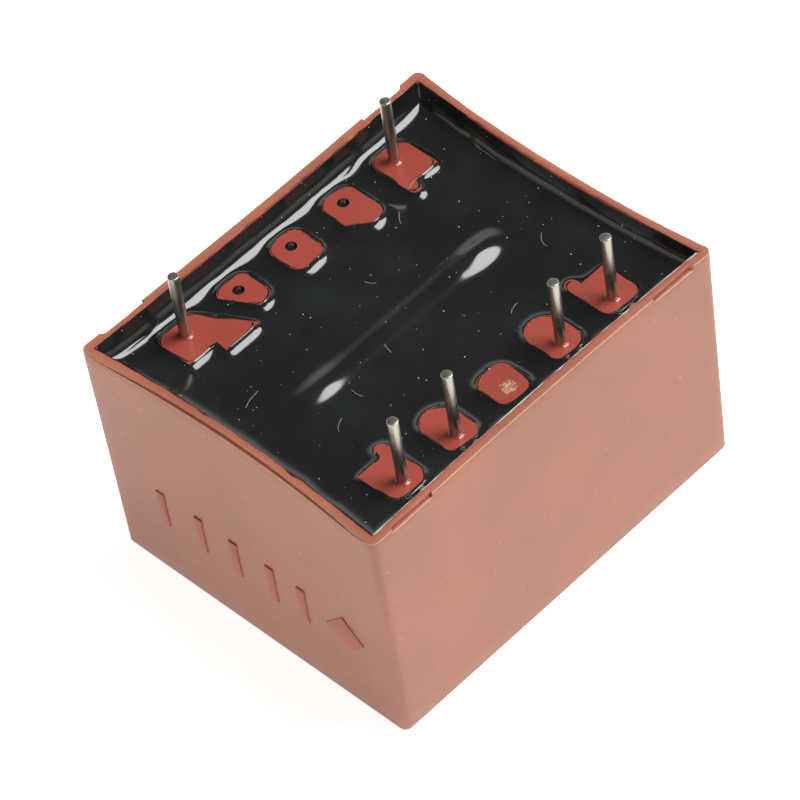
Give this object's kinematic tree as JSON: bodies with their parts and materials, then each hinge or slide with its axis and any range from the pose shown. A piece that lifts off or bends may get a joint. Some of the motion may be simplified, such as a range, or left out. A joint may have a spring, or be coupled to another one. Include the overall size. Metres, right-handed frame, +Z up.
{
  "type": "pcb transformer",
  "caption": "Resin-potted mains transformer for a printed circuit board: a red-brown plastic case filled with black resin, with round tinned pins in two rows.",
  "frame": {"origin": "middle of the case's closed face, on which the part lies with its pins up", "axes": "+X along the long side; +Y from the row of secondary pins towards the row of primary pins; +Z up, the way the pins point. Turned over about X, it is in the position in which it is soldered to a board."},
  "size_m": [0.0324, 0.027, 0.0238],
  "materials": {
    "case_plastic": "satin moulded thermoplastic polyester, red-brown",
    "potting_resin": "glossy black cast resin",
    "bobbin_plastic": "satin moulded thermoplastic polyester, red-brown",
    "core_steel": "varnished electrical steel",
    "copper_wire": "enamelled copper wire",
    "winding_tape": "yellow polyester tape",
    "tinned_wire": "dull tin plating",
    "solder": "solder"
  },
  "bodies": {
    "root": {"case": "case_plastic", "potting_compound": "potting_resin", "bobbin": "bobbin_plastic", "core_e_laminations": "core_steel", "core_i_laminations": "core_steel", "primary_winding": "copper_wire", "secondary_winding_a": "copper_wire", "secondary_winding_b": "copper_wire", "primary_tape": "winding_tape", "secondary_tape": "winding_tape", "pin_1": "tinned_wire", "pin_5": "tinned_wire", "pin_6": "tinned_wire", "pin_7": "tinned_wire", "pin_9": "tinned_wire", "pin_10": "tinned_wire", "solder_joint_1": "solder", "solder_joint_5": "solder", "solder_joint_6": "solder", "solder_joint_7": "solder", "solder_joint_9": "solder", "solder_joint_10": "solder"}
  },
  "joints": []
}
